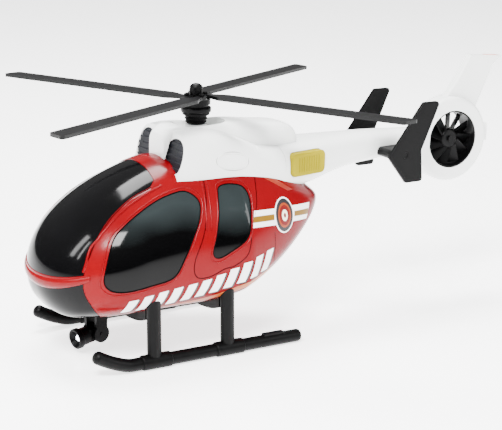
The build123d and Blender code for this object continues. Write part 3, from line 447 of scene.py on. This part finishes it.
# ---------------------------------------------------------- cabin shells and glazing
WINDSCREEN_ARC = [(-106.0, 69.7), (-103.3, 79.0), (-96.5, 90.5), (-84.0, 104.0), (-67.5, 115.0),
                  (-51.0, 121.6)]
CHIN_ARC = [(-106.3, 64.4), (-106.3, 60.0), (-104.2, 53.4), (-98.4, 44.0), (-91.0, 36.5), (-82.0, 28.0)]
BAND_TOP = [(-132.0, 62.6), (-120.0, 65.4)]
BAND_BOTTOM = [(-132.0, 54.6), (-120.0, 59.6)]
FRONT_WINDOW = [(-95.2, 70.0), (-87.5, 91.0), (-76.5, 101.4), (-60.5, 110.5), (-44.5, 116.6), (-30.0, 118.4),
                (-22.0, 112.0), (-24.5, 101.5), (-32.2, 88.5), (-38.8, 77.0), (-47.5, 64.5), (-65.0, 60.8),
                (-83.0, 58.6), (-93.0, 61.2)]
REAR_WINDOW = [(-3.4, 118.4), (5.0, 119.6), (14.5, 117.4), (17.6, 110.4), (15.0, 98.0), (10.0, 84.5),
               (-3.0, 77.0), (-13.0, 73.6), (-17.4, 77.6), (-13.5, 89.6), (-9.4, 102.0), (-6.4, 113.0)]
WINDOWS = (("front", FRONT_WINDOW), ("rear", REAR_WINDOW))
HATCH = [(-51.0, 20.0), (-9.0, 20.0), (-9.0, 45.0), (-51.0, 45.0)]
HATCH_SIDE = -25
OUTSIDE, WINDOW_REACH, CENTRE_REACH = 90, -4, 5
SHELL_WALL, PANE_WALL, PANE_INSET, PANE_GAP, WINDOW_GAP = 2.0, 1.6, 0.4, 0.15, 0.2
WHOLE_TURNS, HALF_TURNS = 150, 76
TAIL_POINT = 0.5

# Stations of the pod's sheets, crowded towards both tips.
NOSE_RUN, MIDDLE_RUN, TAIL_RUN = 62, 122, 35.8
NOSE_STEPS, MIDDLE_STEPS, TAIL_STEPS = 44, 60, 30
STATIONS = [NOSE_X + NOSE_RUN * (k / NOSE_STEPS) ** 2.3 for k in range(1, NOSE_STEPS + 1)]
STATIONS += [NOSE_X + NOSE_RUN + MIDDLE_RUN * k / MIDDLE_STEPS for k in range(1, MIDDLE_STEPS + 1)]
STATIONS += [TAIL_X - TAIL_RUN * ((TAIL_STEPS - k) / TAIL_STEPS) ** 1.8 for k in range(1, TAIL_STEPS + 1)]


def windscreen_outline(gap):
    arc = open_points([(x - gap, z + gap) for x, z in WINDSCREEN_ARC])
    over = [(-47.0 - gap, 125.0), (-46.6 - gap, 130.0), (-48.5 - gap, 150.0), (-140.0, 150.0)]
    return arc + over + [(x - gap, z + gap) for x, z in BAND_TOP]


def chin_outline(gap):
    arc = open_points([(x - gap, z - gap) for x, z in CHIN_ARC])
    under = [(-82.0 - gap, 15.0), (-140.0, 15.0)]
    return arc + under + [(x - gap, z - gap) for x, z in BAND_BOTTOM]


def pod_sheet(name, inset, thickness, whole):
    """The pod's port half (or the whole pod) as a sheet of even thickness."""
    turns, sweep = (WHOLE_TURNS, 2 * math.pi) if whole else (HALF_TURNS, math.pi)
    width = turns if whole else turns + 1
    points, faces = [], []
    for x in STATIONS:
        shifted = x + inset if x < ROOF_X else x - inset
        for k in range(width):
            y, z = pod_point(x, math.pi / 2 + sweep * k / turns, inset)
            if not whole and k in (0, turns):
                y = 0.0
            points.append(at(shifted, y, z))
    for s in range(len(STATIONS) - 1):
        for k in range(turns):
            a, b = s * width + k, s * width + (k + 1) % width
            faces.append((a, b, b + width, a + width))
    tip = len(points)
    points.append(at(NOSE_X + inset, 0, NOSE_Z))
    points.append(at(TAIL_X - inset + TAIL_POINT, 0, TAIL_MID_Z))
    last = (len(STATIONS) - 1) * width
    for k in range(turns):
        faces.append((tip, (k + 1) % width, k))
        faces.append((tip + 1, last + k, last + (k + 1) % width))
    mesh = bpy.data.meshes.new(name)
    mesh.from_pydata([tuple(p) for p in points], [], faces)
    item = new_object(name, mesh)
    outward(item)
    # The half sheet is open, so its faces may all point in: most have to look away from a point inside.
    within = Vector((-0.06, 0.0 if whole else -0.02, 0.08))
    votes = sum(1 if f.normal.dot(f.center - within) > 0 else -1 for f in mesh.polygons)
    if votes < 0:
        mesh.flip_normals()
    thick = item.modifiers.new("thick", "SOLIDIFY")
    thick.thickness, thick.offset, thick.use_even_offset = thickness * MM, -1, False
    apply_modifiers(item)
    return item


def cutter(outlines, low_y, high_y):
    """Side-view outlines carried across the toy, as one mesh for cutting."""
    points, faces = [], []
    for outline in outlines:
        start, count = len(points), len(outline)
        points += [at(x, y, z) for y in (low_y, high_y) for x, z in outline]
        faces.append([start + k for k in range(count)])
        faces.append([start + count + k for k in reversed(range(count))])
        for k in range(count):
            j = (k + 1) % count
            faces.append([start + k, start + count + k, start + count + j, start + j])
    mesh = bpy.data.meshes.new("cutter")
    mesh.from_pydata([tuple(p) for p in points], [], faces)
    item = new_object("cutter", mesh)
    outward(item)
    return item


def cut(item, tool, operation="DIFFERENCE"):
    trim = item.modifiers.new("cut", "BOOLEAN")
    trim.object, trim.operation, trim.solver = tool, operation, "EXACT"
    apply_modifiers(item)
    bpy.data.objects.remove(tool)


def mirrored(item, name):
    mesh = item.data.copy()
    mesh.transform(Matrix.Diagonal((1, -1, 1, 1)))
    mesh.flip_normals()
    return new_object(name, mesh)


def finish_shell(item, node, material):
    shade(item, 35)
    item.data.materials.clear()
    item.data.materials.append(material)
    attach(item, "airframe")
    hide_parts(node)


def cabin():
    half = pod_sheet("cabin_shell_port", 0.0, SHELL_WALL, False)
    cut(half, cutter([loop_points(outline) for _, outline in WINDOWS], -OUTSIDE, WINDOW_REACH))
    cut(half, cutter([windscreen_outline(0)], -OUTSIDE, CENTRE_REACH))
    cut(half, cutter([chin_outline(0)], -OUTSIDE, CENTRE_REACH))
    cut(half, cutter([HATCH], HATCH_SIDE, CENTRE_REACH))
    other = mirrored(half, "cabin_shell_starboard")
    finish_shell(half, "fuselage_shell_port", RED)
    finish_shell(other, "fuselage_shell_starboard", RED)
    for name, outline in (("windscreen", windscreen_outline), ("chin_window", chin_outline)):
        pane = pod_sheet(name + "_pane", PANE_INSET, PANE_WALL, True)
        cut(pane, cutter([outline(PANE_GAP)], -OUTSIDE, OUTSIDE), "INTERSECT")
        finish_shell(pane, name, GLAZE)
    for name, outline in WINDOWS:
        pane = pod_sheet(name + "_side_pane_port", PANE_INSET, PANE_WALL, False)
        inside = loop_points(grown(outline, -WINDOW_GAP))
        cut(pane, cutter([inside], -OUTSIDE, WINDOW_REACH), "INTERSECT")
        twin = mirrored(pane, name + "_side_pane_starboard")
        finish_shell(pane, name + "_side_window_port", SIDE_GLAZE)
        finish_shell(twin, name + "_side_window_starboard", SIDE_GLAZE)


# ---------------------------------------------------------- nose band
BAND_SWEEP, BAND_ROWS, BAND_COLUMNS = 52, 9, 91
BAND_MID_Z, BAND_LOW_Z, BAND_HIGH_Z = 61.5, 55.0, 63.5
BAND_LOW_SLOPE, BAND_HIGH_SLOPE = 0.505, 0.33
BAND_SWELL, BAND_SINK, BAND_DEPTH, BAND_POWER = 1.6, 0.5, 2.0, 2.6
RAY_LENGTH, RAY_HALVINGS = 90.0, 40


def plan_skin(turn, z, proud):
    """The pod's skin at height z, along a plan-view ray from the middle of the cabin."""
    near, far = 0.0, RAY_LENGTH
    for _ in range(RAY_HALVINGS):
        r = (near + far) / 2
        x, y = WIDEST_X - r * math.cos(turn), r * math.sin(turn)
        _, low, _, high = pod_station(x)
        inside = x > NOSE_X and abs(y) < skin_y(x, z) and low < z < high
        near, far = (r, far) if inside else (near, r)
    r = near + proud
    return WIDEST_X - r * math.cos(turn), r * math.sin(turn)


def nose_band():
    """Rounded red band round the nose between windscreen and chin window."""
    outer, inner = [], []
    for c in range(BAND_COLUMNS):
        turn = math.radians(-BAND_SWEEP + 2 * BAND_SWEEP * c / (BAND_COLUMNS - 1))
        back = plan_skin(turn, BAND_MID_Z, 0)[0] - NOSE_X
        top, bottom = BAND_HIGH_Z + back * BAND_HIGH_SLOPE, BAND_LOW_Z + back * BAND_LOW_SLOPE
        for r in range(BAND_ROWS):
            v = r / (BAND_ROWS - 1)
            z = bottom + (top - bottom) * v
            swell = BAND_SWELL * (1 - abs(2 * v - 1) ** BAND_POWER) - BAND_SINK
            outer.append(at(*plan_skin(turn, z, swell), z))
            inner.append(at(*plan_skin(turn, z, -BAND_DEPTH), z))
    slab("nose_band", outer, inner, BAND_COLUMNS, BAND_ROWS, RED)


# ---------------------------------------------------------- lines on the cabin
RIM_GROWTH = 2.0
SCREEN_RIDGE = [(-106.4, 72.0), (-100.6, 86.0), (-94.5, 92.8), (-89.8, 97.6), (-77.0, 107.6), (-61.0, 116.2),
                (-44.0, 122.6)]
DOOR = [(28.4, 121.5), (25.4, 113.5), (22.4, 104.6), (20.9, 102.0), (13.9, 89.7), (12.4, 80.8),
        (8.9, 72.3), (-0.6, 66.6), (-8.5, 65.4), (-20.0, 61.3), (-30.1, 62.7), (-31.7, 73.6),
        (-22.1, 93.8), (-12.7, 123.0)]
DOOR_RAIL = [(-14.5, 122.6), (-18.0, 108.0), (-21.0, 93.0)]
RAIL_PITCH = 3.6
PANEL_EDGE = [(36.4, 83.7), (36.9, 74.1), (36.4, 67.0), (37.9, 60.7)]


# How each kind of line lies on the skin: height of its middle over it, radius, material, slot.
LINES = {
    # Window and windscreen gap lines are black beads of painted shade.
    "window_gap_shade": (-0.25, 0.42, GAP, "black_glass"),
    "window_rim": (0.0, 0.55, RED, "red"),
    "screen_ridge": (-0.3, 1.0, RED, "red"),
    "screen_gap_shade": (-0.2, 0.4, GAP, "black_glass"),
    # Door and panel gap lines are dark-red beads of painted groove shade.
    "door_gap": (-0.32, 0.5, RED_SHADE_LINE, "red"),
    "door_rail": (-0.1, 0.6, RED, "red"),
    "panel_gap": (-0.3, 0.42, RED_SHADE_LINE, "red"),
}


def skin_bead(kind, name, points, side, closed=False):
    proud, radius, material, slot = LINES[kind]
    bead(name, [on_skin(x, z, side, proud) for x, z in points], radius, material, slot, closed)


def cabin_lines():
    """Painted black shade lines in the window and windscreen gaps, window rims, the ridge beside the
    windscreen, door outlines as painted dark-red shade lines, and rails.
    """
    for side, tag in SIDES:
        for name, outline in WINDOWS:
            gap_shade, rim = loop_points(outline, 8), loop_points(grown(outline, RIM_GROWTH), 8)
            skin_bead("window_gap_shade", name + "_window_gap_shade_" + tag, gap_shade, side, True)
            skin_bead("window_rim", name + "_window_rim_" + tag, rim, side, True)
        skin_bead("screen_ridge", "screen_ridge_" + tag, open_points(SCREEN_RIDGE), side)
        skin_bead("screen_gap_shade", "screen_gap_shade_" + tag, open_points(WINDSCREEN_ARC[1:]), side)
        skin_bead("door_gap", "door_gap_" + tag, open_points(DOOR, 8), side)
        for number in range(2):
            rail = open_points([(x + number * RAIL_PITCH, z) for x, z in DOOR_RAIL])
            skin_bead("door_rail", "door_rail_%d_%s" % (number, tag), rail, side)
        skin_bead("panel_gap", "panel_gap_" + tag, open_points(PANEL_EDGE), side)


# ---------------------------------------------------------- printed trim
# Each stripe: name, its four corners, rows and columns, material, height over the skin.
STRIPES = (
    ("front", ((18.9, 101.3), (40.0, 99.4), (38.0, 88.4), (14.4, 90.8)), (6, 14), PRINT_WHITE, 0.14),
    ("rear", ((56.0, 98.2), (77.9, 95.9), (72.9, 85.3), (54.5, 87.4)), (6, 14), PRINT_WHITE, 0.14),
    ("mid_front", ((17.4, 97.7), (37.2, 96.0), (36.6, 92.1), (15.8, 93.9)), (3, 12), OCHRE, 0.24),
    ("mid_rear", ((58.6, 93.9), (75.6, 92.2), (74.6, 88.4), (58.0, 90.4)), (3, 12), OCHRE, 0.24),
)
# The badge's middle, and its discs from the largest up: half axes, material, height over the skin.
BADGE = (47.4, 93.2)
BADGE_RINGS = ((9.9, 12.2, PRINT_WHITE, 0.24), (9.0, 11.2, PRINT_DARK, 0.32), (6.6, 8.4, PRINT_ORANGE, 0.40),
               (5.4, 6.9, PRINT_RED, 0.48), (3.0, 3.9, CREAM, 0.56), (1.2, 1.6, PRINT_RED, 0.64))
DASHES, DASH_HALF, DASH_LEAN, SHADOW_SHIFT = 11, 3.3, 3.0, 1.2
DASH_LOW = [(-84.0, 42.0), (-61.0, 42.5), (-25.0, 46.8), (0.0, 51.5), (12.9, 54.4), (31.9, 58.6)]
DASH_HIGH = [(-84.0, 50.5), (-57.0, 55.0), (-24.0, 59.0), (3.0, 66.2), (14.9, 69.4), (33.9, 73.1)]
FLAME_HIGH = [(-53.0, 42.2), (-22.0, 43.4), (3.4, 49.6), (20.0, 53.2), (36.5, 58.0)]
FLAME_LOW = [(-53.0, 41.2), (-22.0, 40.2), (3.4, 44.8), (20.0, 49.4), (35.5, 54.0)]
UPPER_PATCH = ((36.5, 119.2), (47.5, 116.6), (62.0, 107.6), (56.5, 107.8))


def dash_grid(top, bottom, shift, lifts):
    """A slanted bar between two places; lifts are its four corners' heights over them."""
    (tx, tz), (bx, bz) = top, bottom
    corners = ((tx - DASH_HALF + shift, tz + lifts[0]), (tx + DASH_HALF + shift, tz + lifts[1]),
               (bx + DASH_HALF + shift, bz + lifts[2]), (bx - DASH_HALF + shift, bz + lifts[3]))
    return quad_grid(*corners, 6, 5)


def stickers():
    """Stripes and badge on the rear of the cabin, slanted dashes along its foot, and the flame under them."""
    for side, tag in SIDES:
        for name, corners, parts, material, proud in STRIPES:
            sticker("stripe_%s_%s" % (name, tag), quad_grid(*corners, *parts), side, material, proud)
        for number, (length, height, material, proud) in enumerate(BADGE_RINGS):
            disc = disc_grid(*BADGE, length, height)
            sticker("badge_ring_%d_%s" % (number, tag), disc, side, material, proud)
        lower, upper = (paced(open_points(line, 10), 2 * DASHES + 1)[1::2] for line in (DASH_LOW, DASH_HIGH))
        for number, (bottom, (x, z)) in enumerate(zip(lower, upper)):
            top = (x + DASH_LEAN, z)
            shadow = dash_grid(top, bottom, SHADOW_SHIFT, (-0.4, 0.3, -0.9, -1.3))
            dash = dash_grid(top, bottom, 0.0, (0.0, 0.8, 0.4, -0.2))
            sticker("dash_shadow_%d_%s" % (number, tag), shadow, side, PRINT_DARK, 0.12)
            sticker("dash_%d_%s" % (number, tag), dash, side, PRINT_WHITE, 0.22)
        sticker("flame_stripe_" + tag, ribbon_grid(FLAME_HIGH, FLAME_LOW, 10), side, FLAME, 0.1)
        sticker("upper_patch_" + tag, quad_grid(*UPPER_PATCH, 8, 10), side, PATCH, 0.12)


# ---------------------------------------------------------- lines on the cowling
OVAL_X, OVAL_Z = 10.5, 134.0
OVAL_LENGTH, OVAL_HEIGHT, OVAL_POWER, OVAL_FALL = 12.0, 5.6, 0.8, 0.10
GROOVE_LENGTH, GROOVE_HEIGHT = 13.0, 6.5
OVAL_RADIUS, GROOVE_RADIUS = 0.75, 0.3
OVAL_STEPS, OVAL_SINK, RAY_START = 56, 0.1, 200.0


def node_skin(node):
    """A lookup for the outside of a CAD node: a point over it at side-view place (x, z)."""
    tree = BVHTree.FromObject(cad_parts[node], bpy.context.evaluated_depsgraph_get())

    def look(x, z, side, proud):
        hit, normal, _, _ = tree.ray_cast(at(x, side * RAY_START, z), Vector((0, -side, 0)))
        if normal.y * side < 0:
            normal = -normal
        return hit + normal * proud * MM
    return look


def cowling_lines():
    """The raised oval on each flank of the cowling and the groove round it, drawn as a grey bead of painted
    shade.
    """
    look = node_skin("engine_cowling")
    for side, tag in SIDES:
        oval, groove = [], []
        for k in range(OVAL_STEPS):
            along_x, up = math.cos(2 * math.pi * k / OVAL_STEPS), math.sin(2 * math.pi * k / OVAL_STEPS)
            x = OVAL_X + OVAL_LENGTH * math.copysign(abs(along_x) ** OVAL_POWER, along_x)
            z = OVAL_Z + OVAL_HEIGHT * math.copysign(abs(up) ** OVAL_POWER, up) - OVAL_FALL * (x - OVAL_X)
            oval.append(look(x, z, side, -OVAL_SINK))
            x = OVAL_X + GROOVE_LENGTH * along_x
            z = OVAL_Z + GROOVE_HEIGHT * up - OVAL_FALL * GROOVE_LENGTH * along_x
            groove.append(look(x, z, side, -OVAL_SINK))
        bead("cowling_oval_" + tag, oval, OVAL_RADIUS, WHITE, "white", True)
        bead("cowling_groove_" + tag, groove, GROOVE_RADIUS, GROOVE_SHADE, "white", True)


# ---------------------------------------------------------- finishes on the CAD nodes, black unless listed
FINISH = {
    "battery_cover": RED, "engine_cowling": WHITE, "tail_boom_port": WHITE, "tail_boom_starboard": WHITE,
    "engine_inlet_port": GRILLE, "engine_inlet_starboard": GRILLE, "sound_button": YELLOW,
    "rotor_shaft": STEEL, "shaft_stop_ring": STEEL, "shell_screws": STEEL, "boom_screws": STEEL,
    "battery_cover_screw": STEEL, "battery_cells": CELL, "searchlight_led": GLOW, "fin_tip_light": TIP_RED,
    "circuit_board": BOARD, "button_switch_board": BOARD, "button_dome": RUBBER,
    "rotor_blade_a": BLADE, "rotor_blade_b": BLADE, "rotor_blade_c": BLADE, "rotor_blade_d": BLADE,
}


def dress_nodes():
    for node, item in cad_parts.items():
        if not item.data.materials:
            item.data.materials.append(BLACK)
        for k in range(len(item.data.materials)):
            item.data.materials[k] = FINISH.get(node, BLACK)
        shade(item, 28)


# ---------------------------------------------------------- studio, in metres and watts
WORLD_POWER, WORLD_LOW, WORLD_HIGH = 0.8, (0.16, 0.16, 0.16), (1.0, 1.0, 1.0)
FLOOR_SIZE, FLOOR_DROP, FLOOR_POWER = 24, 0.0004, 2.4
FLOOR_DARK, FLOOR_LIGHT = (0.95, 0.95, 0.95), (0.98, 0.98, 0.98)
# Each light: name, place, aim, width and height, power.
LIGHTS = (
    ("key", (-0.9, -0.9, 1.5), (0.0, 0.0, 0.08), (0.7, 0.5), 120),
    ("side", (1.1, -1.2, 0.9), (0.05, 0.0, 0.1), (0.4, 0.7), 22),
    ("strip", (-1.05, 0.07, 0.78), (-0.1, 0.0, 0.08), (0.12, 0.5), 9),
    ("thin_strip", (-1.08, -0.12, 0.74), (-0.1, 0.0, 0.08), (0.04, 0.45), 4),
    ("top", (0.1, 0.6, 1.7), (0.0, 0.0, 0.1), (1.0, 0.6), 90),
)


def studio():
    """A pale floor under a sky that brightens upwards, with five soft lights."""
    world = bpy.data.worlds.new("studio")
    bpy.context.scene.world = world
    world.use_nodes = True
    sky = world.node_tree
    place = sky.nodes.new("ShaderNodeTexCoord").outputs["Generated"]
    colours = two_tone(sky, along(sky, place, "Z"), WORLD_LOW, WORLD_HIGH, 0.08, 0.85)
    sky.links.new(colours, sky.nodes["Background"].inputs["Color"])
    settings(sky.nodes["Background"], {"Strength": WORLD_POWER})
    bpy.ops.mesh.primitive_plane_add(size=FLOOR_SIZE, location=(0, 0, -FLOOR_DROP))
    floor = bpy.context.object
    floor.name = "floor"
    floor.data.materials.append(lit("floor_white", FLOOR_NOISE, FLOOR_DARK, FLOOR_LIGHT, FLOOR_POWER, 0.3))
    for name, place, aim, size, power in LIGHTS:
        data = bpy.data.lights.new(name, "AREA")
        data.shape, data.size, data.size_y, data.energy = "RECTANGLE", size[0], size[1], power
        lamp = new_object(name, data)
        lamp.location = place
        lamp.rotation_mode = "QUATERNION"
        lamp.rotation_quaternion = (Vector(aim) - Vector(place)).to_track_quat("-Z", "Y")


# ---------------------------------------------------------- camera
CAMERA_TURN, CAMERA_LIFT, CAMERA_ROLL = 30.38, 15.20, 1.14
CAMERA_AIM, CAMERA_DISTANCE = (46.75, 0.0, 82.37), 1016.8
LENS, SENSOR = 98.8, 36.0


def camera():
    """A long lens ahead of the toy, to port and a little above it."""
    turn, lift, roll = (math.radians(angle) for angle in (CAMERA_TURN, CAMERA_LIFT, CAMERA_ROLL))
    back = Vector((-math.sin(turn) * math.cos(lift), -math.cos(turn) * math.cos(lift), math.sin(lift)))
    right = (-back).cross(Vector((0, 0, 1))).normalized()
    up = right.cross(-back)
    tilted_right = math.cos(roll) * right + math.sin(roll) * up
    tilted_up = -math.sin(roll) * right + math.cos(roll) * up
    data = bpy.data.cameras.new("camera")
    data.sensor_width, data.lens = SENSOR, LENS
    data.clip_start, data.clip_end = 0.05, 30.0
    view = new_object("camera", data)
    turned = Matrix((tilted_right, tilted_up, back)).transposed().to_4x4()
    turned.translation = at(*(Vector(CAMERA_AIM) + back * CAMERA_DISTANCE))
    view.matrix_world = turned
    bpy.context.scene.camera = view


camera()
studio()
dress_nodes()
cabin()
nose_band()
cabin_lines()
stickers()
cowling_lines()
